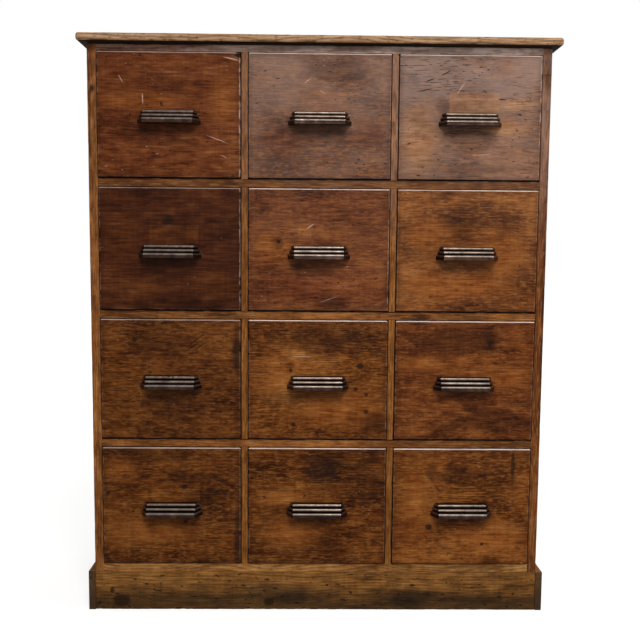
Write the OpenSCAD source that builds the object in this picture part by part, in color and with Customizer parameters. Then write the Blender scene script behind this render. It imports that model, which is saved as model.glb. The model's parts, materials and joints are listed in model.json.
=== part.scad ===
// Bank of drawers for a workshop: a pine carcass of housed boards that holds rows and columns of
// dovetailed drawers, each with a cast cup pull.
// Front edges of the boards lie in one plane, the drawer fronts stand a little proud of it.
// X runs across the front, Y to the back and Z up; the origin is on the floor, under the middle.

/* [Carcass] */
// Width across the two side panels
body_w = 930; // [800:5:1100]
// Depth from the front edges of the boards to the back
body_d = 430; // [380:5:600]
// Number of drawers side by side
columns = 3; // [1:1:3]
// Number of drawers one above another
rows = 4; // [1:1:4]
// Clear height of one drawer opening
opening_h = 250; // [200:1:320]
// Thickness of the side panels
side_t = 18.5; // [15:0.5:25]
// Thickness of the upright partitions between the columns
partition_t = 13; // [10:0.5:20]
// Thickness of the shelves between the rows
shelf_t = 17; // [14:0.5:25]
// Thickness of the board under the lowest drawers
bottom_t = 18; // [14:0.5:25]
// Thickness of the board that closes the carcass under the top
crown_t = 14; // [11:0.5:25]
// Depth of the housings that the boards are let into
housing_d = 5; // [3:0.5:6]
// Distance that a housing stops short of the front edge
housing_stop = 12; // [6:1:25]

/* [Top] */
// Thickness of the top board
top_t = 16; // [12:0.5:28]
// Overhang of the top board at the front
top_front = 24; // [10:1:40]
// Overhang of the top board at each side
top_side = 16; // [5:1:40]
// Radius of the worn edges of the top board
top_round = 6; // [2:0.5:6]

/* [Plinth] */
// Height of the plinth
plinth_h = 83; // [50:1:120]
// Thickness of the plinth's front board
plinth_front_t = 18; // [12:0.5:25]
// Thickness of the plinth's side boards
plinth_side_t = 14; // [8:0.5:20]

/* [Back] */
// Number of tongued and grooved boards in the back
back_count = 7; // [3:1:9]
// Thickness of the back boards
back_t = 10; // [8:0.5:15]
// Width of the rebate in each side panel that the back boards lie in
back_rebate = 9; // [6:0.5:12]
// Length of the tongue on each back board
tongue_l = 6; // [4:0.5:8]
// Thickness of the tongue
tongue_t = 3; // [2:0.5:4]
// Clearance of a tongue in its groove
tongue_fit = 0.3; // [0.1:0.1:0.5]
// Joint left open between two back boards for the wood to move
back_gap = 0.6; // [0.3:0.1:2]
// Diameter of the nail heads in the back
nail_head_d = 6; // [4:0.5:8]
// Thickness of the nail heads
nail_head_t = 1.2; // [0.8:0.1:1.5]
// Diameter of the nails
nail_d = 2.4; // [1.5:0.1:3]
// Length of the nails
nail_l = 35; // [25:1:50]

/* [Drawers] */
// Gap between a drawer front and the boards beside it
gap_side = 0.8; // [0.5:0.1:2]
// Gap between a drawer front and the board above it
gap_top = 1.3; // [0.6:0.1:3]
// Gap between a drawer front and the board under it
gap_bottom = 0.7; // [0.5:0.1:2]
// Running gap between the drawer's sides and the board they slide on
run_gap = 0.3; // [0.2:0.1:0.5]
// Distance that the drawer fronts stand out of the carcass
proud = 4; // [0:0.5:8]
// Thickness of the drawer fronts
front_t = 20; // [16:0.5:25]
// Radius of the worn front edges of a drawer front
front_round = 2.5; // [1:0.5:4]
// Room left behind a closed drawer
rear_gap = 20; // [5:1:60]
// Thickness of the drawer's sides
wall_t = 12; // [10:0.5:15]
// Thickness of the drawer's back
rear_t = 12; // [8:0.5:15]
// Distance that the drawer's sides end below the top of its front
wall_drop = 2; // [0:0.5:10]
// Distance that the drawer's back ends below the sides
rear_drop = 6; // [0:0.5:20]
// Thickness of the drawer's bottom panel
panel_t = 7; // [5:0.5:8]
// Depth of the groove that the bottom panel sits in
groove_d = 6; // [4:0.5:7]
// Height of the groove above the drawer's lower edge
groove_z = 9; // [8:0.5:14]
// Clearance of the bottom panel in its groove
panel_fit = 0.3; // [0.1:0.1:0.5]
// Number of dovetails at each front corner
front_tails = 4; // [2:1:5]
// Number of dovetails at each back corner
rear_tails = 3; // [2:1:4]
// Width of the narrow end of the pins between the dovetails
pin_w = 12; // [6:1:16]
// Slope of the dovetails, as the rise over one unit of length
tail_slope = 0.17; // [0.1:0.01:0.2]
// Wood left in front of the dovetails
lap = 7; // [4:0.5:9]
// Glue line round the dovetails
joint_fit = 0.1; // [0.05:0.05:0.2]

/* [Drawer stops] */
// Length of a stop block along the front
stop_l = 34; // [20:1:40]
// Depth of a stop block
stop_w = 14; // [8:1:25]
// Height of a stop block
stop_h = 5; // [3:0.5:6.5]
// Distance of the stop blocks from the middle of the drawer
stop_x = 85; // [40:1:90]
// Gap between the stop blocks and the back of a closed drawer's front
stop_fit = 0.3; // [0.1:0.1:1]

/* [Cup pull] */
// Number of reeds
reeds = 3; // [2:1:4]
// Height that each reed adds to the pull
reed_h = 8; // [6:0.5:10]
// Depth that each reed is sunk into what lies under it
reed_sink = 0.6; // [0.3:0.1:1]
// Width of the straight front of the pull
pull_w = 100; // [80:1:160]
// Distance that the top reed stands out of the drawer front
reed_top_d = 12; // [10:0.5:16]
// Distance that each reed stands in front of the one above it
reed_step = 6; // [4:0.5:8]
// Height of the plain skirt under the lowest reed
skirt_h = 2.5; // [1:0.5:8]
// Distance that the skirt lies behind the lowest reed
skirt_inset = 0.6; // [0.3:0.1:1.2]
// Angle between the pull's ends and the drawer front
end_angle = 60; // [45:1:80]
// Wall thickness of the casting
cast_t = 2.6; // [2:0.1:3.5]
// Height of the pull's top edge above the middle of the drawer front
pull_rise = 9; // [-40:1:40]
// Distance of the fixing screws from the middle of the pull
screw_x = 36; // [25:1:38]
// Diameter of the fixing screws
screw_d = 4; // [3:0.5:5]
// Diameter of the screw heads
screw_head_d = 8; // [6:0.5:10]
// Height of the screw heads
screw_head_h = 2.4; // [1.5:0.1:4]
// Width of the slot in a screw head
slot_w = 1.2; // [0.8:0.1:1.6]
// Depth of the slot in a screw head
slot_depth = 1; // [0.6:0.1:1.3]
// Angle at which the slots were left
slot_angle = 25; // [0:5:90]
// Length that a fixing screw enters the casting
screw_grip = 9; // [6:0.5:10]
// Clearance round a screw in its hole in the drawer front
screw_fit = 0.3; // [0.2:0.1:0.6]
// Clearance round a screw in the casting
thread_fit = 0.05; // [0.02:0.01:0.1]
// Diameter of the bosses that take the fixing screws
boss_d = 9; // [8:0.5:12]

/* [Hidden] */
$fn = 48;
// Overshoot of cuts past the face that they open
over = 1;
frame_wood = "#8f5f38";
front_wood = "#6f4530";
top_wood = "#8f8068";
plinth_wood = "#5e4027";
raw_wood = "#b78e60";
iron = "#4a433c";
steel = "#77736c";

row_list = [1:rows];
column_list = [1:columns];
opening_w = (body_w - 2 * side_t - (columns - 1) * partition_t) / columns;
row_pitch = opening_h + shelf_t;
column_pitch = opening_w + partition_t;
inner_w = body_w - 2 * side_t;
bottom_z = plinth_h + bottom_t;
crown_z = bottom_z + rows * row_pitch - shelf_t;
body_h = crown_z + crown_t;
shelf_d = body_d - back_t;
back_w = inner_w + 2 * back_rebate;
back_pitch = back_w / back_count;
top_arris = min(top_round, top_t / 2);

front_w = opening_w - 2 * gap_side;
front_h = opening_h - gap_top - gap_bottom;
front_back_y = front_t - proud;
drawer_l = shelf_d - rear_gap + proud;
wall_top = opening_h - gap_top - wall_drop;
wall_h = wall_top - run_gap;
rear_y = drawer_l - proud;
groove_low = run_gap + groove_z;
groove_h = panel_t + panel_fit;
rear_low = groove_low + groove_h + panel_fit;
rear_h = wall_top - rear_drop - rear_low;

reed_r = (reed_h + reed_sink) / 2;
pull_h = skirt_h + reeds * reed_h;
pull_depth = reed_top_d + (reeds - 1) * reed_step;
pull_z = gap_bottom + front_h / 2 + pull_rise - pull_h;
// The screws enter the reed under the top one
screw_z = skirt_h + (reeds - 1) * reed_h - reed_r;

// Y of the plane of the front edges, with the middle of the whole depth at Y = 0
front_y = (max(proud + pull_depth, top_front) - body_d) / 2;

function drawer_x(c) = (c - (columns + 1) / 2) * column_pitch;
function drawer_z(r) = bottom_z + (rows - r) * row_pitch;
function tag(r, c) = str("r", r, "c", c);

// Block centred on X = 0
module block(w, y0, y1, z0, z1)
{
    translate([-w / 2, y0, z0])
        cube([w, y1 - y0, z1 - z0]);
}

// Plan of a board with rounded front corners
module rounded_plan(w, d, r)
{
    difference() {
        translate([-w / 2, 0])
            square([w, d]);
        for (s = [-1, 1])
            translate([s * (w / 2 - r), r])
                difference() {
                    translate([s > 0 ? 0 : -r - over, -r - over])
                        square(r + over);
                    circle(r);
                }
    }
}

// Edge of a board of thickness t: length l, rounded at its start, and at its end if asked
module arris_profile(l, t, r, both)
{
    difference() {
        square([l, t]);
        for (x = both ? [r, l - r] : [r], y = [r, t - r])
            translate([x, y])
                difference() {
                    translate([x > r ? 0 : -r - over, y > r ? 0 : -r - over])
                        square(r + over);
                    circle(r);
                }
    }
}

// Carcass

// Shelf whose ends and back corners are let into the side panels behind the stop of the housing
module housed_shelf(z, t)
{
    block(inner_w, 0, shelf_d, z, z + t);
    block(inner_w + 2 * housing_d, housing_stop, shelf_d, z, z + t);
}

module shelf_solids()
{
    for (r = [1:1:rows - 1])
        housed_shelf(drawer_z(r) - shelf_t, shelf_t);
}

module partition_solids()
{
    for (c = [1:1:columns - 1], r = row_list)
        translate([drawer_x(c) + column_pitch / 2, 0, drawer_z(r)]) {
            block(partition_t, 0, shelf_d, 0, opening_h);
            block(partition_t, housing_stop, shelf_d, -housing_d, opening_h + housing_d);
        }
}

module back_space(w)
{
    block(w, shelf_d, body_d + over, plinth_h, body_h + over);
}

module side_panel(s)
{
    color(frame_wood)
        translate([0, front_y, 0])
            difference() {
                translate([s * (body_w - side_t) / 2, 0, 0])
                    block(side_t, 0, body_d, 0, body_h);
                housed_shelf(plinth_h, bottom_t);
                shelf_solids();
                housed_shelf(crown_z, crown_t);
                back_space(inner_w + 2 * back_rebate);
                block(body_w + 2 * over, -over, plinth_front_t, -over, plinth_h);
            }
}

module side_left()
{
    side_panel(-1);
}

module side_right()
{
    side_panel(1);
}

module shelves()
{
    color(frame_wood)
        translate([0, front_y, 0])
            difference() {
                shelf_solids();
                partition_solids();
            }
}

module bottom_board()
{
    color(frame_wood)
        translate([0, front_y, 0])
            difference() {
                housed_shelf(plinth_h, bottom_t);
                partition_solids();
            }
}

module crown_board()
{
    color(frame_wood)
        translate([0, front_y, 0])
            difference() {
                housed_shelf(crown_z, crown_t);
                partition_solids();
            }
}

module partitions()
{
    color(frame_wood)
        translate([0, front_y, 0])
            partition_solids();
}

module top_board()
{
    w = body_w + 2 * top_side;
    d = body_d + top_front;
    color(top_wood)
        translate([0, front_y - top_front, body_h])
            intersection() {
                linear_extrude(top_t)
                    rounded_plan(w, d, top_arris);
                // Rounded arrises along the front
                translate([-w / 2, 0, 0])
                    rotate([90, 0, 90])
                        linear_extrude(w)
                            arris_profile(d, top_t, top_arris, false);
                // Rounded arrises along both sides
                translate([0, d, 0])
                    rotate([90, 0, 0])
                        linear_extrude(d)
                            translate([-w / 2, 0])
                                arris_profile(w, top_t, top_arris, true);
            }
}

// Plan of back board i: a tongue on its right edge and a groove in its left one, but a plain edge
// at either side of the cabinet
module back_plan(i)
{
    difference() {
        union() {
            square([back_pitch - back_gap, back_t]);
            if (i < back_count - 1)
                translate([0, (back_t - tongue_t) / 2])
                    square([back_pitch + tongue_l - tongue_fit, tongue_t]);
        }
        if (i > 0)
            translate([-over, (back_t - tongue_t - tongue_fit) / 2])
                square([tongue_l + over, tongue_t + tongue_fit]);
    }
}

module back_boards()
{
    color(raw_wood)
        translate([-back_w / 2, front_y + shelf_d, plinth_h])
            for (i = [0:back_count - 1])
                translate([i * back_pitch, 0, 0])
                    linear_extrude(body_h - plinth_h)
                        back_plan(i);
}

// Nails through the back boards into the middle of each shelf's edge
module back_nails()
{
    levels = concat([plinth_h + bottom_t / 2, crown_z + crown_t / 2],
        [for (r = [1:1:rows - 1]) drawer_z(r) - shelf_t / 2]);
    color(steel)
        for (z = levels, i = [0:back_count - 1])
            translate([(i + 0.5) * back_pitch - back_w / 2, front_y + body_d, z])
                rotate([90, 0, 0]) {
                    cylinder(d = nail_d, h = nail_l);
                    cylinder(d = nail_head_d, h = nail_head_t);
                }
}

// Plinth

module plinth_front()
{
    color(plinth_wood)
        translate([0, front_y, 0])
            block(body_w, 0, plinth_front_t, 0, plinth_h);
}

module plinth_sides()
{
    color(plinth_wood)
        for (s = [-1, 1])
            translate([s * (body_w + plinth_side_t) / 2, front_y, 0])
                block(plinth_side_t, 0, body_d, 0, plinth_h);
}

// Drawer stops: two blocks behind the lower edge of each drawer front
module drawer_stops()
{
    color(raw_wood)
        for (r = row_list, c = column_list, s = [-1, 1])
            translate([drawer_x(c) + s * stop_x, front_y, drawer_z(r)])
                block(stop_l, front_back_y + stop_fit, front_back_y + stop_fit + stop_w, 0, stop_h);
}

// Drawers, drawn with their opening's lower front edge at the origin

module at_drawer(r, c)
{
    translate([drawer_x(c), front_y, drawer_z(r)])
        children();
}

// Row of dovetails that point along +X, spread over the height h and grown by fit
module tails(count, h, l, fit)
{
    pitch = h / count;
    wide = pitch - pin_w + 2 * fit;
    narrow = wide - 2 * tail_slope * l;
    for (i = [0:count - 1])
        translate([0, (i + 0.5) * pitch])
            polygon([[-over, -narrow / 2], [0, -narrow / 2], [l + fit, -wide / 2],
                [l + fit, wide / 2], [0, narrow / 2], [-over, narrow / 2]]);
}

// Side of a drawer seen from outside, X along its length from the face of the front
module wall_outline(fit)
{
    rear_shoulder = drawer_l - rear_t;
    translate([front_t, 0])
        square([rear_shoulder + fit - front_t, wall_h]);
    translate([front_t, 0])
        mirror([1, 0])
            tails(front_tails, wall_h, front_t - lap, fit);
    // Full length under and over the back of the drawer
    translate([front_t, 0])
        square([drawer_l - front_t, rear_low - run_gap + fit]);
    translate([front_t, wall_h - rear_drop - fit])
        square([drawer_l - front_t, rear_drop + fit]);
    translate([rear_shoulder, rear_low - run_gap])
        tails(rear_tails, rear_h, rear_t, fit);
}

// Both sides of a drawer before they are grooved. Where the front and back are cut to them, they
// are grown by fit, and go on past their outer faces
module wall_blanks(fit = 0, past = 0)
{
    for (s = [-1, 1])
        translate([s > 0 ? front_w / 2 - wall_t - fit : -front_w / 2 - past, -proud, run_gap])
            rotate([90, 0, 90])
                linear_extrude(wall_t + fit + past)
                    wall_outline(fit);
}

// Grooves for the bottom panel, in the sides and in the back of the front
module groove_space()
{
    block(front_w - 2 * (wall_t - groove_d), front_back_y - groove_d, rear_y + over,
        groove_low, groove_low + groove_h);
}

module drawer_box()
{
    color(raw_wood) {
        difference() {
            wall_blanks();
            groove_space();
        }
        // Back, cut between the dovetails of the sides
        difference() {
            block(front_w, rear_y - rear_t, rear_y, rear_low, rear_low + rear_h);
            wall_blanks(joint_fit, over);
        }
    }
}

module drawer_bottom()
{
    w = front_w - 2 * (wall_t - groove_d) - 2 * panel_fit;
    color(raw_wood)
        block(w, front_back_y - groove_d + panel_fit, rear_y, groove_low, groove_low + panel_t);
}

// Drawer front with worn edges, sockets for the dovetails and holes for the pull's screws
module drawer_front()
{
    color(front_wood)
        difference() {
            translate([0, -proud, gap_bottom])
                intersection() {
                    linear_extrude(front_h)
                        rounded_plan(front_w, front_t, front_round);
                    translate([-front_w / 2, 0, 0])
                        rotate([90, 0, 90])
                            linear_extrude(front_w)
                                arris_profile(front_t, front_h, front_round, false);
                }
            wall_blanks(joint_fit, over);
            groove_space();
            for (s = [-1, 1])
                translate([s * screw_x, front_back_y + over, pull_z + screw_z])
                    rotate([90, 0, 0])
                        cylinder(d = screw_d + 2 * screw_fit, h = front_t + 2 * over);
        }
}

// Cup pull, drawn with the drawer's face at Y = 0 and its lower edge at Z = 0

// Plan of one layer of the pull: straight front at depth d, ends running back past the drawer
module cup_plan(d, half)
{
    run = (d + over) / tan(end_angle);
    polygon([[-half - run, over], [-half, -d], [half, -d], [half + run, over]]);
}

// Slab behind the line Y = 0 whose edge there is a half round
module reed_edge()
{
    reach = 2 * pull_w;
    translate([-reach, 0, 0])
        rotate([90, 0, 90])
            linear_extrude(2 * reach) {
                translate([reed_r, 0])
                    circle(reed_r);
                translate([reed_r, -reed_r])
                    square([reach, 2 * reed_r]);
            }
}

// One reed: half-round edges along the front and both ends, mitred at the corners
module reed(depth, z)
{
    translate([0, 0, z])
        intersection() {
            translate([0, -depth, 0])
                reed_edge();
            translate([pull_w / 2, -depth, 0])
                rotate(end_angle)
                    reed_edge();
            translate([-pull_w / 2, -depth, 0])
                rotate(-end_angle)
                    reed_edge();
            block(2 * pull_w, -depth - over, over, -reed_r - over, reed_r + over);
        }
}

function reed_depth(i) = pull_depth - i * reed_step;

module pull_outside()
{
    for (i = [0:reeds - 1])
        reed(reed_depth(i), skirt_h + (i + 1) * reed_h - reed_r);
    linear_extrude(skirt_h + reed_r)
        cup_plan(pull_depth - skirt_inset, pull_w / 2);
}

// Hollow under the reeds, open below and against the drawer
module pull_hollow()
{
    slant = cast_t * tan(end_angle / 2);
    inner = reed_r + cast_t;
    translate([0, 0, -over])
        linear_extrude(skirt_h + reed_r + over)
            cup_plan(pull_depth - skirt_inset - cast_t, pull_w / 2 - slant);
    for (i = [0:reeds - 1])
        translate([0, 0, skirt_h])
            linear_extrude((i + 1) * reed_h - cast_t)
                cup_plan(reed_depth(i) - inner, pull_w / 2 - inner * tan(end_angle / 2));
}

// Both screws' axes, pointing out of the drawer and starting inside its face by the overshoot
module at_screws()
{
    for (s = [-1, 1])
        translate([s * screw_x, over, screw_z])
            rotate([90, 0, 0])
                children();
}

module pull_screws()
{
    at_screws()
        translate([0, 0, over - front_t - screw_head_h])
            difference() {
                union() {
                    cylinder(d = screw_head_d, h = screw_head_h);
                    cylinder(d = screw_d, h = screw_head_h + front_t + screw_grip);
                }
                rotate(slot_angle)
                    block(screw_head_d + 2 * over, -slot_w / 2, slot_w / 2, -over, slot_depth);
            }
}

module pull_casting()
{
    difference() {
        pull_outside();
        // The hollow, but not where the bosses for the screws stand in it
        difference() {
            pull_hollow();
            at_screws()
                cylinder(d = boss_d, h = reed_depth(reeds - 2) - reed_r + over);
        }
        at_screws()
            cylinder(d = screw_d + 2 * thread_fit, h = screw_grip + 2 * over);
        // The face that lies on the drawer
        block(4 * pull_w, 0, pull_depth, -over, pull_h + over);
    }
}

module pull()
{
    translate([0, -proud, pull_z]) {
        color(iron)
            pull_casting();
        color(steel)
            pull_screws();
    }
}

top_board();
crown_board();
side_left();
side_right();
bottom_board();
shelves();
partitions();
drawer_stops();
back_boards();
back_nails();
plinth_front();
plinth_sides();
for (r = row_list, c = column_list) {
    at_drawer(r, c) drawer_front();
    at_drawer(r, c) drawer_box();
    at_drawer(r, c) drawer_bottom();
    at_drawer(r, c) pull();
}
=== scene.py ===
"""Old pine bank of drawers: the looks of the wood, the iron pulls and the light round them."""

import json
import math
import random

import bmesh
import bpy
from mathutils import Euler, Matrix, Vector, noise


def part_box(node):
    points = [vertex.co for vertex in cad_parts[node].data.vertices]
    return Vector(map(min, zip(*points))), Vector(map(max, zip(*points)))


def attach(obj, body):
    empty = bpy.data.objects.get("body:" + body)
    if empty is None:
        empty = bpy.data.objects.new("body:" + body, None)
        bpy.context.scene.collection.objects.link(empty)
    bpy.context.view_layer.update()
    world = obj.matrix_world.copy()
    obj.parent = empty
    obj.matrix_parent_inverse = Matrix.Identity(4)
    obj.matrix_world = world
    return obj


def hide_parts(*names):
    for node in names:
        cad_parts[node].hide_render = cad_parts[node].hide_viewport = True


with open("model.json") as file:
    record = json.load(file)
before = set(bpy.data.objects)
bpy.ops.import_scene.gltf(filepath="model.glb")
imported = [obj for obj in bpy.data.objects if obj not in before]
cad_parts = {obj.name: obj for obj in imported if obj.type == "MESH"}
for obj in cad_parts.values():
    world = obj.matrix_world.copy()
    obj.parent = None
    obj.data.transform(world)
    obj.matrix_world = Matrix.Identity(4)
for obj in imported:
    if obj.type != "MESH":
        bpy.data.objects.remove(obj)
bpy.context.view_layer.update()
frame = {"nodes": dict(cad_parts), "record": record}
scene = bpy.context.scene
scene.view_settings.view_transform = "Standard"
MM = 0.001
NODES = frame["nodes"]
BODY_OF = {node: body for body, nodes in frame["record"]["behaviour"]["bodies"].items() for node in nodes}
ROWS, COLUMNS = 4, 3
# Distances that finishes follow, in metres: from row to row and column to column, the lower left corner of the
# drawers' cells, which meet about in the middle of the boards between them, and half the carcass's width
ROW_PITCH, COLUMN_PITCH = 0.267, 0.302
CELLS_LEFT, CELLS_FOOT = -1.5 * COLUMN_PITCH, 0.093
HALF_WIDTH = 0.465
# A cell of this size that starts this far out doesn't divide the cabinet
UNDIVIDED, OUTSIDE = 10, -5


def linear(code):
    """An sRGB hex colour as the linear one that a shader takes."""
    parts = [int(code[i:i + 2], 16) / 255 for i in (1, 3, 5)]
    return (*[c / 12.92 if c <= 0.04045 else ((c + 0.055) / 1.055) ** 2.4 for c in parts], 1)


def add(tree, kind, inputs=None, stops=None, **settings):
    """Adds a node with its settings: a shader node, unless its kind has Node in it. Inputs are values, or the
    sockets or nodes that feed them, and a node feeds from its first output in use. Stops are a ramp's."""
    node = tree.nodes.new(kind if "Node" in kind else "ShaderNode" + kind)
    for name, value in settings.items():
        setattr(node, name, value)
    for name, value in enumerate(inputs) if isinstance(inputs, list) else (inputs or {}).items():
        if isinstance(value, bpy.types.Node):
            value = next(socket for socket in value.outputs if socket.enabled)
        if isinstance(value, bpy.types.NodeSocket):
            tree.links.new(value, node.inputs[name])
        else:
            node.inputs[name].default_value = value
    for i, (place, code) in enumerate(stops or []):
        spot = node.color_ramp.elements[i] if i < 2 else node.color_ramp.elements.new(place)
        spot.position = place
        spot.color = linear(code)
    return node


def empty_material(name):
    material = bpy.data.materials.new(name)
    material.use_nodes = True
    material.node_tree.nodes.clear()
    return material


def new_piece(name, data):
    piece = bpy.data.objects.new(name, data)
    scene.collection.objects.link(piece)
    return piece


# Wood

TURN = {"x": (0, 0, 0), "y": (0, 0, -90), "z": (0, 90, 0)}
# Bare pine inside the drawers and behind, from its dirty places to its clean ones
BARE = ("#8f6a40", "#ae8655", "#c09966", "#cfae80")
END_GRAIN = ("#47301b", "#5e4026", "#72502f", "#86613b")
LATE_WOOD = "#8a7464"
# Painted shade for the gaps between boards and under the top
PAINTED_SHADE_TONE = "#0e0805"
# Specular level of dull old wax, and of an arris that hands have polished
WAX, POLISHED = 0.04, 0.6


class Pine:
    """A pine finish under construction: grain-space coordinates, its colour so far and its height map.

    The grain runs along one axis. ring is the width of the growth rings and pith how far to the side their
    centre lies, in millimetres; rings_seen is how dark they are. mottle is how fine the stain's clouds are
    along and across the grain. Cells of the size boards, counted from first, have grain of their own.
    crossed is the depth from which boards lie across the others, and the size of their cells."""

    def __init__(self, name, tones, along="x", centre=(0, 0, 0), seed=0, ring=5, tilt=0.05, pith=None, knots=(),
                 boards=None, first=(OUTSIDE,) * 3, rings_seen=0.5, mottle=(7, 13), crossed=None):
        self.material = empty_material(name)
        t = self.tree = self.material.node_tree
        dice = random.Random(seed)
        turn = Euler([math.radians(a) for a in TURN[along]])
        moved = -(turn.to_matrix() @ Vector(centre))
        self.spot = add(t, "TexCoord").outputs["Object"]
        self.whole = add(t, "SeparateXYZ", [self.spot]).outputs
        # X along the grain, Y through the board and Z across it, from the board's centre
        self.place = add(t, "Mapping", {"Vector": self.spot, "Location": moved, "Rotation": turn})
        if crossed:
            depth, crossed_boards = crossed
            behind = self.fade(self.whole[1], depth - 0.3 * MM, depth - 0.1 * MM)
            self.place = add(t, "Mix", {0: behind, 4: self.place, 5: self.spot}, data_type="VECTOR")
            boards = add(t, "Mix", {0: behind, 4: boards, 5: crossed_boards}, data_type="VECTOR")
        self.parts = add(t, "SeparateXYZ", [self.place]).outputs
        self.shift = add(t, "VectorMath", [self.place, [dice.uniform(-3, 3) for _ in range(3)]],
                         operation="ADD")
        if boards:
            # Each board of a set gets its own stretch of grain
            cell = add(t, "VectorMath", [self.spot, first], operation="SUBTRACT")
            cell = add(t, "VectorMath", [cell, boards], operation="SNAP")
            chance = add(t, "TexWhiteNoise", {"Vector": cell}, noise_dimensions="3D").outputs["Color"]
            self.shift = add(t, "VectorMath", [chance, (5, 5, 5), self.shift], operation="MULTIPLY_ADD")

        # Growth rings: distance from a pith line behind the face, bent by slow noise and by knots
        slow = self.noise((2.5, 9, 9), 2)
        if pith is None:
            pith = dice.choice((-1, 1)) * dice.uniform(70, 150)
        core = (0, dice.uniform(30, 60) * MM, pith * MM)
        across = add(t, "VectorMath", [self.place, core], operation="SUBTRACT")
        if boards:
            across = add(t, "VectorMath", [chance, (0.2, 0.05, 0.1), across], operation="MULTIPLY_ADD")
        across = add(t, "VectorMath", [across, (tilt, 1, 1)], operation="MULTIPLY")
        radius = add(t, "VectorMath", [across], operation="LENGTH")
        radius = add(t, "Math", [slow, 0.05, radius], operation="MULTIPLY_ADD")
        self.knot_masks = []
        for along_mm, across_mm, knot_r, squeeze in knots:
            near = add(t, "Mapping", {
                "Vector": self.place, "Location": (along_mm * MM, 0, across_mm * MM),
                "Scale": (1 / squeeze, 1000, 1)}, vector_type="TEXTURE")
            gap = add(t, "VectorMath", [near], operation="LENGTH")
            swell = self.fade(gap, 0, knot_r * 4 * MM, knot_r * 2.2 * MM, 0)
            radius = add(t, "Math", [radius, swell], operation="ADD")
            self.knot_masks.append(self.fade(gap, knot_r * 0.7 * MM, knot_r * 1.3 * MM, 1, 0))
        turns = add(t, "Math", [radius, 1 / (ring * MM)], operation="MULTIPLY")
        turns = add(t, "Math", [turns], operation="FRACT")
        # Pale early wood darkens slowly to a thin late-wood line, then stops short
        self.late = add(t, "ValToRGB", {"Fac": turns}, [
            (0, "#000000"), (0.45, "#404040"), (0.8, "#d8d8d8"), (0.93, "#ffffff"), (1, "#000000")])

        # Fibres, 2 to 3 mm wide so that they show, and the marks of work across them
        self.fibre = self.noise((22, 290, 290), 3)
        self.grit = self.noise((30, 75, 75), 4)
        weave = self.noise((170, 60, 12), 1)
        # How the stain took: cloudy patches, longer along the grain
        self.cloud = self.noise((mottle[0], mottle[1], mottle[1]), 6)
        level = self.times(self.cloud, 0.6)
        for pattern, share in ((self.fibre, 0.5), (self.grit, 0.5), (weave, 0.1)):
            level = add(t, "Math", [pattern, share, level], operation="MULTIPLY_ADD")
        self.level = self.fade(level, 0.63, 1.09, 0, 1, "LINEAR")
        dark = self.times(self.late, rings_seen)
        self.colour = add(t, "Mix", {0: dark, 6: self.ramp(tones), 7: linear(LATE_WOOD)},
                          data_type="RGBA", blend_type="MULTIPLY")
        self.ramps = {}
        self.layers = []
        self.dents = []
        self.shine = None

    def noise(self, scale, detail):
        spread = add(self.tree, "VectorMath", [self.shift, scale], operation="MULTIPLY")
        return add(self.tree, "TexNoise", {"Vector": spread, "Scale": 1, "Detail": detail, "Roughness": 0.6})

    def fade(self, value, start, stop, first=0, last=1, how="SMOOTHSTEP"):
        """Goes from first to last while the value goes from start to stop."""
        return add(self.tree, "MapRange", {
            "Value": value, "From Min": start, "From Max": stop, "To Min": first, "To Max": last},
            interpolation_type=how)

    def ramp(self, tones):
        """Tones that follow the grain, from where it is darkest to where it is palest."""
        stops = [(i / (len(tones) - 1), code) for i, code in enumerate(tones)]
        return add(self.tree, "ValToRGB", {"Fac": self.level}, stops)

    def spots(self, scale, low, high, turn=0, share=1):
        """Mask of small marks: noise stretched by scale, seen between two levels, on share of the surface."""
        t = self.tree
        spread = add(t, "Mapping", {
            "Vector": self.shift, "Rotation": (0, math.radians(turn), 0), "Scale": scale})
        mark = add(t, "TexNoise", {"Vector": spread, "Scale": 1, "Detail": 1})
        mark = self.fade(mark, low, high)
        if share < 1:
            # Patches about 9 cm across
            wide = add(t, "TexNoise", {"Vector": self.shift, "Scale": 11 + turn / 9, "Detail": 1})
            mark = self.times(mark, 1, self.fade(wide, 1 - share, 1.1 - share))
        return mark

    def patch(self, x, z, half_x, half_z, soft, ragged=0.0):
        """Mask of a rectangle in grain space, in millimetres, with an edge as soft as asked."""
        t = self.tree
        near = add(t, "VectorMath", [self.place, (x * MM, 0, z * MM)], operation="SUBTRACT")
        near = add(t, "VectorMath", [near], operation="ABSOLUTE")
        near = add(t, "VectorMath", [near, (half_x * MM, 0, half_z * MM)], operation="SUBTRACT")
        parts = add(t, "SeparateXYZ", [near]).outputs
        far = add(t, "Math", [parts[0], parts[2]], operation="MAXIMUM")
        if ragged:
            far = add(t, "Math", [self.cloud, ragged * MM, far], operation="MULTIPLY_ADD")
        middle = ragged / 2
        return self.fade(far, (middle - soft) * MM, (middle + soft) * MM, 1, 0)

    def blot(self, x, z, half_x, half_z, turn=0, edge=0.6, ragged=1.6):
        """Mask of an oval in grain space, in millimetres, turned by some degrees and with a ragged edge."""
        t = self.tree
        near = add(t, "Mapping", {
            "Vector": self.place, "Location": (x * MM, 0, z * MM), "Rotation": (0, math.radians(turn), 0),
            "Scale": (half_x * MM, 1000, half_z * MM)}, vector_type="TEXTURE")
        far = add(t, "VectorMath", [near], operation="LENGTH")
        far = add(t, "Math", [self.cloud, ragged, far], operation="MULTIPLY_ADD")
        far = add(t, "Math", [self.grit, ragged / 2, far], operation="MULTIPLY_ADD")
        return self.fade(far, 1 - edge + ragged * 0.75, 1 + edge + ragged * 0.75, 1, 0)

    def times(self, mask, amount, other=None):
        """A mask made weaker, and limited to where another one is."""
        out = add(self.tree, "Math", [mask, amount], operation="MULTIPLY")
        if other is not None:
            out = add(self.tree, "Math", [out, other], operation="MULTIPLY")
        return out

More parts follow.
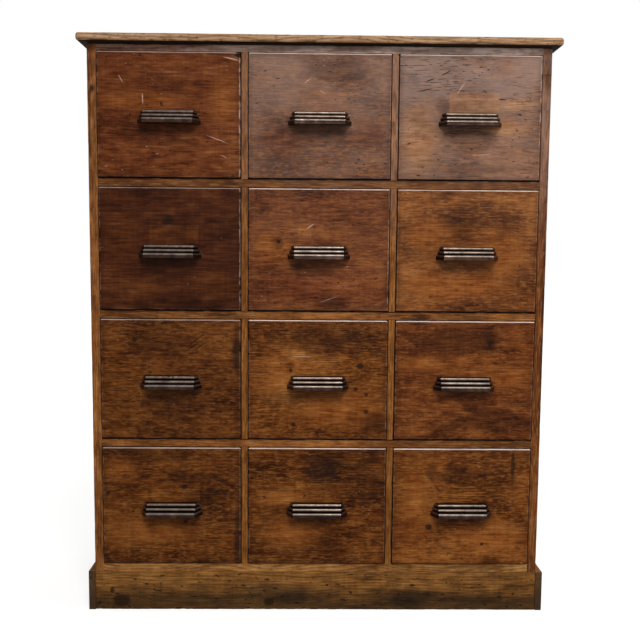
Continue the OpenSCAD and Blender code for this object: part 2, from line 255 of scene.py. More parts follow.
    def rest(self, mask):
        """All that the mask leaves out."""
        return add(self.tree, "Math", [1, mask], operation="SUBTRACT")

    def cover(self, mask, amount, tone, other=None):
        """Lays a colour, or a run of tones that follows the grain, over what is there, as much as the mask
        times the amount."""
        if isinstance(tone, tuple):
            if tone not in self.ramps:
                self.ramps[tone] = self.ramp(tone)
            tone = self.ramps[tone]
        else:
            tone = linear(tone)
        self.layers.append((self.times(mask, amount, other), tone))

    def sink(self, mask, amount, tone, other=None):
        """Covers as above, and dents the surface there."""
        self.cover(mask, amount, tone, other)
        self.dents.append(mask)

    def strew(self, *rows):
        """Small marks all over. A row has their scale, both levels, amount and tone, then turn and share."""
        for scale, low, high, amount, tone, *more in rows:
            self.cover(self.spots(scale, low, high, *more), amount, tone)

    def show_knots(self):
        for mask in self.knot_masks:
            self.cover(mask, 0.8, "#1e110a")

    def finish(self, roughness=0.42, relief=0.35, bare=None, ends=None):
        """Lays the layers over each other, and ends in the shader. Relief is the bump's depth in millimetres,
        bare the mask of the faces that never saw stain, ends that of sawn ends among them."""
        t = self.tree
        colour = self.colour
        layers = list(self.layers)
        if bare is not None:
            layers.append((bare, self.ramp(BARE)))
        if ends is not None:
            # End grain soaks up dirt and darkens more than the faces
            layers.append((self.times(bare, 0.9, ends), self.ramp(END_GRAIN)))
        for mask, tone in layers:
            colour = add(t, "Mix", {0: mask, 6: colour, 7: tone}, data_type="RGBA")
        height = add(t, "Math", [self.fibre, 0.7, self.times(self.late, 0.6)], operation="MULTIPLY_ADD")
        for mask in self.dents:
            height = add(t, "Math", [mask, -2.5, height], operation="MULTIPLY_ADD")
        bump = add(t, "Bump", {"Strength": 0.6, "Distance": relief * MM, "Height": height})
        rough = add(t, "Math", [self.cloud, 0.3, roughness - 0.15], operation="MULTIPLY_ADD")
        gloss = WAX if self.shine is None else self.fade(self.shine, 0, 1, WAX, POLISHED)
        shader = add(t, "BsdfPrincipled", {
            "Base Color": colour, "Roughness": rough, "Normal": bump, "IOR": 1.5, "Specular IOR Level": gloss})
        add(t, "OutputMaterial", {"Surface": shader})
        return self.material


# Stained and waxed pine of the drawer fronts: tones from the darkest patches to the worn ones
STAIN = ("#200b03", "#3e1c07", "#5b2f10", "#77451a", "#96602a")
# What sets single drawers apart: grey haze of old wax with a painted sheen of reflected light, how dark the
# stain is, how orange and how red, how clean the patch above the pull, how worn the top arris is and how strong
# its painted highlight, how many fine checks the grain has, and how chipped the right-hand arris is
WAX_HAZE_AND_SHEEN = {"r1c2": 0.37, "r1c3": 0.55, "r2c2": 0.05, "r2c3": 0.04}
DARK = {"r1c1": 0.52, "r2c1": 0.97, "r2c2": 0.08, "r3c1": 0.28, "r4c1": 0.14, "r4c2": 0.06}
WARM = {"r2c3": 0.4, "r3c2": 0.25, "r4c3": 0.5, "r1c1": 0.15, "r2c2": 0.15, "r1c3": 0.3}
RED = {"r1c1": 0.45, "r2c1": 0.2, "r2c2": 0.35, "r3c3": 0.3}
CLEAN = {"r1c1": 0, "r1c3": 0.5, "r2c1": 0.1, "r3c2": 0, "r4c3": 0}
TOP_WEAR_AND_HIGHLIGHT = {"r1c1": 0.45, "r2c1": 0.3, "r3c1": 0.42, "r4c1": 0.6}
CHECKED = {"r1c2": 0.3, "r1c3": 0.58, "r2c2": 0.55}
CHIPPED = {"r1c1": 0.75, "r1c3": 0.7, "r2c1": 0.4, "r2c2": 0.35}
# The front that the sun reached most, high up; fronts sawn beside the pith, which gives tall arches, and how
# far from it; fronts with bold rings
SUNNED = "r1c3"
ARCHED, ARCHED_PITH = ("r2c3", "r4c2"), -35
BOLD_RINGS = (*ARCHED, "r3c2", "r4c3")
# Knots: place along and across the grain from the front's middle and radius, in millimetres, and how much each
# one is squeezed along the grain
KNOTS = {
    "r1c1": [(-15, 22, 4, 1.6), (-77, 0, 2.5, 1)],
    "r2c2": [(-82, 17, 4, 1)],
    "r3c1": [(-74, 81, 4.5, 1)],
    "r3c2": [(-56, 20, 4, 1), (-50, -93, 5, 1), (87, 30, 6, 0.8), (78, -18, 4.5, 1), (100, -30, 4, 1),
             (100, -66, 4.5, 1)],
    "r3c3": [(52, 76, 6, 1.6)],
    "r4c1": [(-133, 27, 4.5, 1), (26, 41, 5, 0.8), (28, -33, 4, 0.9)],
    "r4c2": [(-136, 60, 3, 1)],
    "r4c3": [(-67, -43, 7, 1), (46, -80, 3.5, 1)],
}
# Marks on single drawers, in millimetres from the front's middle: kind, place, half size, and turn in degrees
MARKS = {
    "r1c1": [("shade", 0, 75, 52, 24), ("shade", -8, -46, 62, 26), ("warm", -50, 28, 70, 14),
             ("warm", 108, 26, 24, 46), ("scratch", -52, 32, 9, 0.9, 88), ("scratch", 97, -47, 20, 0.8, 20),
             ("scratch", 110, -81, 6, 0.8, 25), ("scratch", -95, 70, 8, 0.7, 60),
             ("scratch", 126, 111, 15, 1.2, 12), ("slit", 137, 117, 8, 2.4, 10)],
    "r1c2": [("shade", -10, -30, 70, 22), ("shade", 30, 90, 80, 20), ("red", 100, -30, 34, 26),
             ("red", -70, -50, 40, 24), ("scratch", -25, 70, 9, 0.8, -35), ("scratch", 5, 48, 7, 0.7, 30)],
    "r1c3": [("tan", -100, -44, 32, 66), ("tan", 90, 28, 42, 12), ("tan", 70, -20, 40, 14),
             ("shade", 30, -104, 90, 14), ("shade", -56, 25, 13, 16), ("shade", 8, -50, 40, 24),
             ("shade", -100, -14, 18, 16), ("slit", 63, 37, 9, 1.4), ("slit", -92, 54, 14, 1.1, -12),
             ("slit", -84, 73, 12, 1.1, -20), ("slit", -50, 88, 10, 1, -28),
             ("scratch", -20, 58, 13, 0.8, -55), ("scratch", 30, -72, 14, 0.7, -8)],
    "r2c1": [("shade", 0, 62, 24, 20), ("shade", -10, -42, 48, 22), ("black", -2, 60, 12, 9),
             ("shade", 10, 95, 60, 20), ("warm", -105, 30, 26, 30), ("warm", -60, -75, 50, 16),
             ("warm", 90, -70, 40, 24)],
    "r2c2": [("warm", -90, 5, 34, 28), ("red", 20, -75, 95, 30), ("shade", -10, -38, 40, 16),
             ("shade", -82, 17, 10, 14), ("scratch", -18, 48, 9, 1.4, -35), ("scratch", 20, -100, 16, 1, -18),
             ("shade", 30, -104, 30, 10)],
    "r2c3": [("shade", -10, 55, 46, 26), ("shade", 80, 62, 22, 22), ("warm", -80, 30, 40, 34),
             ("warm", 70, -10, 46, 50), ("warm", -40, -70, 80, 20)],
    "r3c1": [("shade", 0, 74, 72, 20), ("black", 134, 62, 8, 46), ("shade", -10, -48, 60, 34),
             ("slit", -88, -44, 15, 1.2, -18), ("shade", -59, -46, 4, 13), ("slit", 52, 82, 20, 1, -35),
             ("slit", 62, 70, 18, 0.9, -35), ("slit", 44, 68, 16, 0.8, -35)],
    "r3c2": [("shade", 0, 75, 110, 34), ("warm", -80, -10, 50, 26), ("warm", 40, -60, 100, 34),
             ("scratch", -34, 49, 26, 0.7, 1), ("shade", 120, -92, 20, 20)],
    "r3c3": [("shade", 5, 84, 78, 30), ("shade", 52, 76, 10, 18), ("warm", -90, 35, 40, 12),
             ("shade", 30, -82, 110, 28), ("warm", 90, 10, 40, 22)],
    "r4c1": [("shade", -24, 104, 82, 14), ("shade", 20, 62, 52, 14), ("black", 136, -66, 7, 62),
             ("warm", -108, 74, 26, 20), ("black", 28, -33, 5, 9), ("warm", -50, -50, 80, 30),
             ("shade", 60, 20, 40, 14)],
    "r4c2": [("black", 8, 76, 36, 26), ("shade", 30, 100, 60, 16), ("warm", -70, 20, 46, 16),
             ("shade", 30, -76, 20, 18), ("warm", -60, -60, 50, 30), ("shade", 105, 50, 40, 50)],
    "r4c3": [("shade", 0, 68, 46, 20), ("knot", -66, 66, 15, 7, 55), ("knot", -50, 40, 12, 3, 50),
             ("black", 107, 88, 3.5, 32), ("shade", 66, -114, 16, 8), ("warm", -90, 0, 44, 60),
             ("warm", 70, -60, 60, 26)],
}
# Runs of tones for whole places on the fronts
SHADED = ("#140803", "#231008", "#371b0c", "#4d2a14")
WARMED = ("#58290d", "#84491d", "#a2642e", "#bc854a")
REDDENED = ("#3d1809", "#5c2913", "#794023", "#965d38")
TANNED = ("#6f472e", "#936543", "#ad7e59", "#c0936f")
# Tones and strength of each kind of mark, how soft its edge is and how ragged
KINDS = {"shade": (SHADED, 0.56, 0.55, 2.6), "warm": (WARMED, 0.6, 0.7, 2.6), "red": (REDDENED, 0.5, 0.8, 2.4),
         "tan": (TANNED, 0.7, 0.7, 2.4), "black": ("#15100d", 0.72, 0.6, 1.8),
         "knot": ("#2f1a0e", 0.75, 0.3, 0.6), "slit": ("#140c08", 0.85, 0.4, 1),
         "scratch": ("#b8998a", 0.75, 0.4, 1)}


def front_finish(row, column):
    tag = f"r{row}c{column}"
    low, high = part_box(f"front_{tag}")
    centre, half = (low + high) / 2, (high - low) / 2 / MM
    wood = Pine(f"stained waxed pine {tag}", STAIN, centre=centre, seed=row * 10 + column, ring=4.6, tilt=0.1,
                pith=ARCHED_PITH if tag in ARCHED else None, knots=KNOTS.get(tag, ()),
                rings_seen=0.9 if tag in BOLD_RINGS else 0.6)
    wood.strew(((5, 8, 10), 0.4, 0.62, 0.2 + WARM.get(tag, 0), WARMED),
               ((8, 12, 12), 0.5, 0.7, 0.35, SHADED),
               # Smears of stain 4 to 10 mm across, then fine streaks, dark and pale
               ((60, 130, 130), 0.48, 0.64, 0.24, "#3b1808", 4),
               ((75, 150, 150), 0.52, 0.68, 0.2, "#a8652c", -5),
               ((60, 330, 330), 0.5, 0.64, 0.34, "#3b1a0a"),
               ((70, 360, 360), 0.54, 0.66, 0.3, "#a36a35", 1))
    for how_much, tones in ((DARK, SHADED), (RED, REDDENED)):
        if tag in how_much:
            wood.cover(wood.rest(0), how_much[tag], tones)
    if tag in WAX_HAZE_AND_SHEEN:
        # Old wax gone grey, with a painted sheen of reflected light, most of it high on the front
        top_down = wood.fade(wood.parts[2], -half.z * MM, half.z * MM, 0.6, 1.15)
        wood.cover(top_down, WAX_HAZE_AND_SHEEN[tag], "#957f75", wood.fade(wood.cloud, 0.3, 0.62, 0.5, 1.1))
    for kind, x, z, half_x, half_z, *turn in MARKS[tag]:
        tone, amount, edge, ragged = KINDS[kind]
        mark = wood.blot(x, z, half_x, half_z, *turn, edge=edge, ragged=ragged)
        if kind in ("warm", "red", "shade"):
            # Broad marks show less under a dark coat, or under grey wax and its painted sheen
            amount *= 1 - 0.8 * max(DARK.get(tag, 0), WAX_HAZE_AND_SHEEN.get(tag, 0))
        lay = wood.sink if kind == "slit" else wood.cover
        lay(mark, amount, tone)
    # Clean patch above the pull, where something flat once covered the wood
    wood.cover(wood.patch(8, 29, 50, 20, 1.6), CLEAN.get(tag, 0.15), TANNED if tag == SUNNED else WARMED)
    wood.show_knots()
    # Grime and painted shade round the pull and in along the edges
    wood.cover(wood.patch(0, -28, 46, 10, 24, 20), 0.6, "#1a0e08")
    wood.cover(wood.rest(wood.patch(0, 0, half.x - 7, half.z - 7, 7, 14)), 0.28, "#200f08")
    # Short dark checks, where the sun reached most of them high up, and pits of open grain
    checks = wood.spots((40, 400, 400), 0.6, 0.68, 2, CHECKED.get(tag, 0.45))
    sunned = wood.fade(wood.parts[2], -20 * MM, 60 * MM, 0.3, 1) if tag == SUNNED else None
    wood.sink(checks, 0.55, "#241108", sunned)
    wood.sink(wood.spots((90, 210, 210), 0.7, 0.76, 3, 0.6), 0.75, "#150d08")
    # Light scuffs and dents
    wood.strew(((60, 330, 420), 0.72, 0.78, 0.4, "#a88b79", 25, 0.35),
               ((120, 240, 240), 0.74, 0.8, 0.45, "#b39b8c", 5, 0.5))
    # Arrises worn and polished by hands, with a painted highlight: the top one nearly whole, the others in
    # short lengths, and painted shade outside them
    top_edge = wood.fade(wood.parts[2], (half.z - 2.4) * MM, (half.z - 1.6) * MM)
    top_wear_and_highlight = TOP_WEAR_AND_HIGHLIGHT.get(tag, 0.88)
    # A pale painted highlight along the top arris, where it is also worn
    wood.cover(top_edge, top_wear_and_highlight, "#dcc4b8", wood.fade(wood.cloud, 0.36, 0.5, 0.6, 1))
    # Painted highlight, with wear, in a band round the arrises
    edge = wood.rest(wood.patch(0, 0, half.x - 3, half.z - 2.8, 0.9))
    wood.cover(edge, 0.4, "#9c7866", wood.fade(wood.grit, 0.4, 0.65))
    if tag in CHIPPED:
        right = wood.fade(wood.parts[0], (half.x - 4.2) * MM, (half.x - 3) * MM)
        wood.sink(wood.times(wood.spots((260, 200, 70), 0.44, 0.62), 1, right), CHIPPED[tag], "#a98f81")
    # Painted shade on the last 1 to 2 mm of the sides and the bottom, where the arris rounds into the gap
    outer = wood.rest(wood.patch(0, 3, half.x - 1.2, half.z + 1, 0.5))
    wood.cover(outer, 0.94, "#0f0704")
    wood.shine = wood.times(top_edge, top_wear_and_highlight)
    # Painted shade in the gap round the front, then bare wood
    depth = add(wood.tree, "Math", [top_edge, -1.4 * MM, wood.parts[1]], operation="MULTIPLY_ADD")
    wood.cover(wood.fade(depth, (0.9 - half.y) * MM, (2.2 - half.y) * MM), 0.94, PAINTED_SHADE_TONE)
    # The ends are sawn across the grain, and stand dark between the dovetails of the paler sides
    across = add(wood.tree, "Math", [wood.parts[0]], operation="ABSOLUTE")
    return wood.finish(roughness=0.45, relief=0.4 + WAX_HAZE_AND_SHEEN.get(tag, 0),
                       bare=wood.fade(wood.parts[1], (7 - half.y) * MM, (9 - half.y) * MM),
                       ends=wood.fade(across, (half.x - 1.4) * MM, (half.x - 0.8) * MM))


# Stained pine of the carcass: lighter and more orange than the drawers
FRAME = ("#573016", "#7d4b25", "#9b6333", "#b37c45")


def frame_finish(name, along, seed, boards=None, first=(OUTSIDE,) * 3, tones=FRAME, marks=(), painted_shadow_band=None,
                 grey_wax_and_sheen=0.3, grey="#ad958a"):
    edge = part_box("side_left")[0].y
    wood = Pine(name, tones, along=along, seed=seed, ring=3.6, tilt=0.02, boards=boards, first=first,
                rings_seen=0.6, mottle=(5, 30))
    if painted_shadow_band:
        # Painted shadow along a board's upper edge, where a drawer front or the top stands out over it; in
        # millimetres from the height of the first one
        height, every, reach = painted_shadow_band
        rise = add(wood.tree, "Math", [wood.whole[2], height * MM], operation="SUBTRACT")
        rise = add(wood.tree, "Math", [rise, every * MM], operation="FLOORED_MODULO")
        wood.cover(wood.fade(rise, (every - reach) * MM, (every - reach * 0.4) * MM), 0.95, "#0d0704")
    # Hands and damp reached the top less: it kept a redder coat, and to the right grey old wax with a painted
    # sheen of reflected light
    high_up = wood.fade(wood.whole[2], 0.7, 1.05)
    wood.cover(high_up, 0.25, "#65412f")
    wood.cover(high_up, grey_wax_and_sheen, grey, wood.fade(wood.whole[0], -0.34, 0.06))
    in_front = wood.fade(wood.whole[1], edge + 12 * MM, edge + 20 * MM, 1, 0)
    for x, z, half_x, half_z, amount in marks:
        wood.cover(wood.blot(x, z, half_x, half_z), amount, "#1c100a", in_front)
    wood.strew(((14, 60, 60), 0.5, 0.66, 0.45, "#46240e"),
               ((60, 130, 130), 0.5, 0.66, 0.3, "#4a240c", 4),
               ((30, 400, 400), 0.58, 0.68, 0.35, "#3a1f0d"),
               ((40, 360, 360), 0.55, 0.65, 0.22, "#b27c46", 1))
    wood.sink(wood.spots((60, 170, 170), 0.7, 0.76, 3, 0.35), 0.7, "#1d120a")
    # Painted shade just inside the openings, then bare wood; the outer faces of the cabinet are stained all
    # over
    inside = add(wood.tree, "Math", [wood.whole[0]], operation="ABSOLUTE")
    inside = wood.fade(inside, HALF_WIDTH - 1.5 * MM, HALF_WIDTH - 0.5 * MM, 1, 0)
    wood.cover(wood.fade(wood.whole[1], edge + 0.3 * MM, edge + 1.2 * MM), 0.94, PAINTED_SHADE_TONE, inside)
    behind = wood.fade(wood.whole[1], edge + 12 * MM, edge + 25 * MM)
    return wood.finish(roughness=0.5, relief=0.3, bare=wood.times(behind, 1, inside))


def plinth_finish(name, along, seed, centre, knots=(), marks=(), end_grain=None):
    """Stained pine near the floor. end_grain is where the ends that face forward lie."""
    wood = Pine(name, ("#3f2a13", "#714a23", "#946432", "#ae7f48"), along=along, seed=seed, ring=6, tilt=0.05,
                knots=knots, rings_seen=0.5, mottle=(4, 14), centre=centre)
    # Dirt from the floor, in clouds that reach up the board
    rise = add(wood.tree, "Math", [wood.cloud, -0.16, wood.whole[2]], operation="MULTIPLY_ADD")
    wood.cover(wood.fade(rise, -0.065, -0.02, 1, 0), 0.75, "#241b13")
    for x, z, half_x, half_z, amount in marks:
        wood.cover(wood.blot(x, z, half_x, half_z, ragged=2.6), amount, "#17130f")
    wood.show_knots()
    if end_grain is not None:
        # They drank more stain and dirt
        ends = wood.fade(wood.whole[1], end_grain + 0.5 * MM, end_grain + 1.5 * MM, 1, 0)
        wood.cover(ends, 0.75, "#3d2f24")
    wood.sink(wood.spots((70, 160, 160), 0.67, 0.72), 0.8, "#150f0a")
    wood.strew(((26, 420, 420), 0.58, 0.68, 0.35, "#2a1a0d"))
    # Bruised lower arris
    low = wood.fade(wood.whole[2], 1.5 * MM, 3 * MM, 1, 0)
    wood.cover(low, 0.7, "#a8957c", wood.spots((60, 60, 60), 0.55, 0.6))
    return wood.finish(roughness=0.6, relief=0.4)


def slab_finish():
    """Bare pine bleached by use and washing, with dirt in its open grain."""
    wood = Pine("bleached pine top", ("#7d5b41", "#9c7857", "#b18d6b", "#c5a383"), seed=5, ring=5, tilt=0.02,
                rings_seen=0.7, mottle=(3, 14), centre=(0.1, 0, 1.16), pith=300)
    wood.sink(wood.spots((22, 300, 300), 0.55, 0.68), 0.45, "#4c3422")
    # The front arris has taken knocks and dirt
    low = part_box("top_board")[0]
    front = wood.fade(wood.parts[1], low.y + 8 * MM, low.y + 25 * MM, 1, 0.15)
    wood.cover(wood.spots((90, 200, 200), 0.6, 0.68), 0.45, "#35241a", front)
    # Painted shade underneath, dark right down to the lower arris
    wood.cover(wood.fade(wood.whole[2], low.z + 0.4 * MM, low.z + 1.8 * MM, 1, 0), 0.96, PAINTED_SHADE_TONE)
    return wood.finish(roughness=0.75, relief=0.4)


def raw_finish(name, along, seed, boards=None, first=(OUTSIDE,) * 3, nails=None, crossed=None):
    """Planed pine left bare inside the drawers and behind: yellowed, and a little dirty. nails holds the place
    of the first one, and the steps to the next along X and Z, in metres: their iron blackened the wood."""
    wood = Pine(name, BARE, along=along, seed=seed, ring=5, tilt=0.03, rings_seen=0.6, mottle=(4, 16),
                boards=boards, first=first, crossed=crossed)
    wood.strew(((9, 20, 20), 0.5, 0.75, 0.35, "#7d6346"), ((50, 140, 140), 0.7, 0.75, 0.5, "#5d4329"))
    if nails:
        t = wood.tree
        start, steps = nails
        half_step = [v / 2 for v in steps]
        near = add(t, "VectorMath", [wood.spot, start], operation="SUBTRACT")
        near = add(t, "VectorMath", [near, half_step], operation="ADD")
        near = add(t, "VectorMath", [near, (0, 0, 0), steps], operation="WRAP")
        near = add(t, "VectorMath", [near, half_step], operation="SUBTRACT")
        # The stain reaches a little further along the grain
        flat = add(t, "VectorMath", [near, (1, 0, 0.7)], operation="MULTIPLY")
        far = add(t, "VectorMath", [flat], operation="LENGTH")
        far = add(t, "Math", [wood.grit, -0.008, far], operation="MULTIPLY_ADD")
        wood.cover(wood.fade(far, 1 * MM, 6 * MM, 1, 0), 0.8, "#2b1f18")
        # Dirt in the joints between the boards
        joint = add(t, "SeparateXYZ", [near]).outputs[0]
        joint = add(t, "Math", [joint], operation="ABSOLUTE")
        edge = half_step[0]
        wood.cover(wood.fade(joint, edge - 2.2 * MM, edge - 0.8 * MM), 0.85, "#1f150d")
    return wood.finish(roughness=0.65, relief=0.25)


# Metal

# Height of a reed, and that of the lowest reed's lower edge in the bottom row, in millimetres
REED, PULL_FOOT = 8, 210.7


def iron_finish(name, pitted=None):
    """Cast iron with a dark skin of old polish and spots of rust; a painted highlight on each reed's upper
    part, and painted shade on its lower part, in the grooves and on the skirt. pitted is the middle of a
    corroded place."""
    material = empty_material(name)
    t = material.node_tree
    place = add(t, "TexCoord").outputs["Object"]
    cloud = add(t, "TexNoise", {"Vector": place, "Scale": 60, "Detail": 4, "Roughness": 0.6})
    # Sand-cast skin: grain of about 0.8 mm
    sand = add(t, "TexNoise", {"Vector": place, "Scale": 900, "Detail": 2})
    height = add(t, "SeparateXYZ", [place]).outputs[2]
    height = add(t, "Math", [height, PULL_FOOT * MM], operation="SUBTRACT")
    height = add(t, "Math", [height, ROW_PITCH], operation="FLOORED_MODULO")
    # 0 at a reed's lower edge and 1 at its upper one; the painted highlight lies high on each reed, with
    # painted shade below it and in the grooves, and the skirt under the lowest reed stays dark as painted shade
    reed = add(t, "Math", [height, 1 / (REED * MM)], operation="MULTIPLY")
    above = add(t, "Math", [reed, 5], operation="LESS_THAN")
    reed = add(t, "Math", [reed], operation="FRACT")
    wobble = add(t, "Math", [cloud, 0.16, reed], operation="MULTIPLY_ADD")
    highlight_painted_on = add(t, "ValToRGB", {"Fac": wobble}, [
        (0.4, "#000000"), (0.58, "#d0d0d0"), (0.8, "#ffffff"), (0.93, "#ffffff"), (1, "#404040")])
    highlight_painted_on = add(t, "Math", [highlight_painted_on, above], operation="MULTIPLY")
    skin = add(t, "ValToRGB", {"Fac": cloud}, [(0.3, "#1c120d"), (0.5, "#2c1f19"), (0.72, "#43342d")])
    bright = add(t, "ValToRGB", {"Fac": cloud}, [(0.3, "#544840"), (0.5, "#675a51"), (0.7, "#7b6e64")])
    colour = add(t, "Mix", {0: highlight_painted_on, 6: skin, 7: bright}, data_type="RGBA")
    rust = add(t, "TexNoise", {"Vector": place, "Scale": 220, "Detail": 3})
    rust = add(t, "MapRange", {"Value": rust, "From Min": 0.6, "From Max": 0.74, "To Max": 0.7})
    relief, relief_mm = sand, 0.08
    if pitted:
        # Pits of 2 to 3 mm, some down to brown rust and some bright with the painted highlight
        near = add(t, "Mapping", {"Vector": place, "Location": pitted, "Scale": (0.022, 1, 0.009)},
                   vector_type="TEXTURE")
        near = add(t, "VectorMath", [near], operation="LENGTH")
        near = add(t, "MapRange", {"Value": near, "From Min": 0.7, "From Max": 1.3, "To Min": 1, "To Max": 0})
        pits = add(t, "TexNoise", {"Vector": place, "Scale": 330, "Detail": 2})
        eaten = add(t, "MapRange", {"Value": pits, "From Min": 0.42, "From Max": 0.58, "To Max": 0.9})
        eaten = add(t, "Math", [eaten, near], operation="MULTIPLY")
        rust = add(t, "Math", [rust, eaten], operation="MAXIMUM")
        relief = add(t, "Math", [eaten, -4, sand], operation="MULTIPLY_ADD")
        relief_mm = 0.3
    colour = add(t, "Mix", {0: rust, 6: colour, 7: linear("#2b170d")}, data_type="RGBA")
    rough = add(t, "MapRange", {
        "Value": cloud, "From Min": 0.3, "From Max": 0.7, "To Min": 0.36, "To Max": 0.29})
    bump = add(t, "Bump", {"Strength": 0.35, "Distance": relief_mm * MM, "Height": relief})
    shader = add(t, "BsdfPrincipled", {
        "Base Color": colour, "Metallic": 0.95, "Roughness": rough, "Normal": bump})
    add(t, "OutputMaterial", {"Surface": shader})
    return material


def nail_finish():
    """Drawn steel, dulled and spotted with rust."""
    material = empty_material("steel nails, dull")
    t = material.node_tree
    place = add(t, "TexCoord").outputs["Object"]
    spots = add(t, "TexNoise", {"Vector": place, "Scale": 300, "Detail": 3})
    colour = add(t, "ValToRGB", {"Fac": spots}, [(0.35, "#4a3426"), (0.5, "#6d645c"), (0.7, "#857f78")])
    shader = add(t, "BsdfPrincipled", {"Base Color": colour, "Metallic": 0.8, "Roughness": 0.5})
    add(t, "OutputMaterial", {"Surface": shader})
    return material


# Worn boards

# Corners closer than this are one, in metres
SAME_PLACE = 0.000002
# Extra edges near a board's ends, in millimetres from them, for the arrises to bend at
NEAR_ENDS = (0.5, 1.2, 2.2, 3.5, 5.5, 8)


def stand_in(piece, node):
    """Puts a piece where a CAD node was, on the same body."""
    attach(piece, BODY_OF[node])
    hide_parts(node)


def separate_solids(mesh):
    """The mesh's solids, each in an edit mesh of its own with plain flat faces."""
    whole = bmesh.new()
    whole.from_mesh(mesh)
    bmesh.ops.remove_doubles(whole, verts=whole.verts, dist=0.00001)
    bmesh.ops.dissolve_limit(whole, angle_limit=0.002, verts=whole.verts, edges=whole.edges)
    whole.faces.ensure_lookup_table()
    whole.faces.index_update()
    done = set()
    for first in whole.faces:
        if first.index in done:
            continue
        group, waiting = {first.index}, [first]
        while waiting:
            for edge in waiting.pop().edges:
                for face in edge.link_faces:
                    if face.index not in group:
                        group.add(face.index)
                        waiting.append(face)
        done |= group
        solid = whole.copy()
        bmesh.ops.delete(solid, geom=[f for f in solid.faces if f.index not in group], context="FACES")
        yield solid
    whole.free()


def wear_board(work, cuts, wear, chance, sides, hollow, chip):
    """Rounds a board's arrises, here more and there less. cuts are the steps in millimetres of the extra edges
    along each axis, wear the least and greatest radius, sides the axes whose ends are worn, hollow the depth
    of the planing marks on the front face, and chip the reach and depth of a corner broken off at the upper
    right."""
    low = Vector([min(v.co[i] for v in work.verts) for i in range(3)])
    high = Vector([max(v.co[i] for v in work.verts) for i in range(3)])
    for axis, step in enumerate(cuts):
        normal = Vector([axis == i for i in range(3)])
        size = high[axis] - low[axis]
        near = [n * MM for n in NEAR_ENDS if n * MM < size / 2]
        places = {*near, *(size - n for n in near)}
        if step:
            count = max(1, int(size / (step * MM)))
            places |= {p for p in (size * i / count for i in range(1, count)) if 0.01 < p < size - 0.01}
        for place in sorted(places):
            bmesh.ops.bisect_plane(work, geom=work.verts[:] + work.edges[:] + work.faces[:], dist=SAME_PLACE,
                                   plane_co=low + normal * place, plane_no=normal)
    corner = Vector((high.x, low.y, high.z))
    for vert in work.verts:
        p = vert.co
        rough = noise.noise(p * 45 + chance) * 0.6 + noise.noise(p * 150 + chance) * 0.4
        deep = max(0.0, noise.noise(p * 70 - chance) - 0.35) * 2.2
        r = (wear[0] + (wear[1] - wear[0]) * min(1.0, max(0.0, 0.35 + rough * 0.7 + deep))) * MM
        inside = []
        for axis in range(3):
            reach = min(p[axis] - low[axis], high[axis] - p[axis])
            inside.append(max(r - reach, 0.0) if "xyz"[axis] in sides else 0.0)
        length = math.sqrt(sum(v * v for v in inside))
        if length > r:
            for axis in range(3):
                pull_in = inside[axis] * (1 - r / length)
                p[axis] += pull_in if p[axis] - low[axis] < high[axis] - p[axis] else -pull_in
        if abs(p.y - low.y) < 0.5 * MM and hollow:
            p.y += hollow * MM * (0.5 + 0.5 * noise.noise(Vector((p.x * 9, 0, p.z * 14)) + chance))
        if chip and (p - corner).length < chip[0] * MM:
            p.y += chip[1] * MM * (1 - (p - corner).length / (chip[0] * MM))
    bmesh.ops.dissolve_degenerate(work, dist=SAME_PLACE, edges=work.edges[:])
    bmesh.ops.recalc_face_normals(work, faces=work.faces)


def worn_copy(node, cuts, wear, seed, sides="xyz", hollow=0.0, chip=None):
    """A copy of a node with worn boards, in the node's place."""
    mesh = bpy.data.meshes.new(node + "_worn")
    whole = bmesh.new()
    for i, solid in enumerate(separate_solids(NODES[node].data)):
        wear_board(solid, cuts, wear, Vector((seed * 3.7, seed * 1.3 + i, seed * 7.1)), sides, hollow, chip)
        solid.to_mesh(mesh)
        solid.free()
        whole.from_mesh(mesh)
    whole.to_mesh(mesh)
    whole.free()
    mesh.shade_smooth()
    mesh.set_sharp_from_angle(angle=math.radians(35))
    piece = new_piece(node + "_worn", mesh)
    stand_in(piece, node)
    return piece


def weathered_boards():
    """A copy of the back boards with their outer face worn down, so that the nails' heads stand out of it."""
    mesh = NODES["back_boards"].data.copy()
    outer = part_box("back_boards")[1].y
    for vert in mesh.vertices:
        if vert.co.y > outer - 0.1 * MM:
            vert.co.y -= 0.6 * MM
    piece = new_piece("back_boards_worn", mesh)
    stand_in(piece, "back_boards")
    return piece


